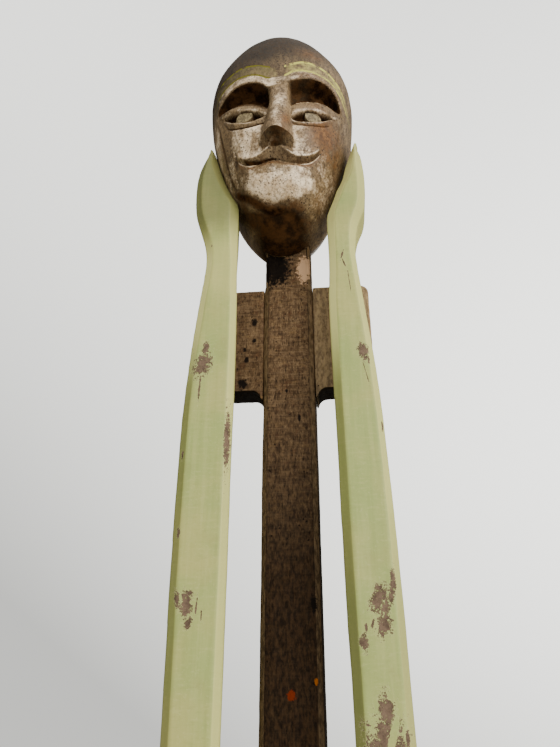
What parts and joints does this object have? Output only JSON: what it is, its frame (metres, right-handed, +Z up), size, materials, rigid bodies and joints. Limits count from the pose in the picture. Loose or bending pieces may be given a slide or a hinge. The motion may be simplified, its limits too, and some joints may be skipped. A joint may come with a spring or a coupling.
{
  "type": "wooden mannequin figure",
  "caption": "Standing wooden mannequin: carved head on a square post, shoulder blocks, hinged upper arms and long forearms whose mitten hands rest on the cheeks.",
  "frame": {"origin": "bottom centre of the base, on the floor under the post's axis", "axes": "+Z up, the face looks along -Y, +X is on the right of someone looking at the face"},
  "size_m": [0.32, 0.3, 1.4365],
  "materials": {
    "head_wood": "worn, waxed, carved wood with rubbed pale areas",
    "dark_wood": "rough sawn, dark stained",
    "green_paint": "pale yellow-green matt paint, chipped to a grey-brown ground",
    "peg_wood": "end-grain dowel, worn",
    "screw_steel": "dull steel"
  },
  "bodies": {
    "stand": {"body_post": "dark_wood", "shoulder_block_left": "dark_wood", "shoulder_block_right": "dark_wood", "shoulder_dowel_upper": "peg_wood", "shoulder_dowel_lower": "peg_wood", "shoulder_pin_left": "peg_wood", "shoulder_pin_right": "peg_wood", "base_board": "dark_wood", "base_batten_left": "dark_wood", "base_batten_right": "dark_wood", "foot_cleat_left": "dark_wood", "foot_cleat_right": "dark_wood", "cleat_screw_left_1": "screw_steel", "cleat_screw_left_2": "screw_steel", "cleat_screw_right_1": "screw_steel", "cleat_screw_right_2": "screw_steel", "batten_screw_left_1": "screw_steel", "batten_screw_left_2": "screw_steel", "batten_screw_right_1": "screw_steel", "batten_screw_right_2": "screw_steel"},
    "head": {"head": "head_wood"},
    "upper_arm_left": {"upper_arm_left": "green_paint"},
    "upper_arm_right": {"upper_arm_right": "green_paint"},
    "forearm_left": {"forearm_left": "green_paint", "elbow_pin_left": "peg_wood"},
    "forearm_right": {"forearm_right": "green_paint", "elbow_pin_right": "peg_wood"}
  },
  "joints": [
    {"name": "head_lift", "type": "slide", "parent": "stand", "child": "head", "axis": [0, 0, 1], "range_m": [0, 0.05]},
    {"name": "shoulder_left", "type": "hinge", "parent": "stand", "child": "upper_arm_left", "pos_m": [-0.0645, -0.0055, 1.043], "axis": [1, 0, 0], "range_deg": [0, 20]},
    {"name": "shoulder_right", "type": "hinge", "parent": "stand", "child": "upper_arm_right", "pos_m": [0.0645, -0.0055, 1.043], "axis": [1, 0, 0], "range_deg": [0, 20]},
    {"name": "elbow_left", "type": "hinge", "parent": "upper_arm_left", "child": "forearm_left", "pos_m": [-0.0645, -0.0055, 0.66], "axis": [1, 0, 0], "range_deg": [0, 140]},
    {"name": "elbow_right", "type": "hinge", "parent": "upper_arm_right", "child": "forearm_right", "pos_m": [0.0645, -0.0055, 0.66], "axis": [1, 0, 0], "range_deg": [0, 140]}
  ]
}
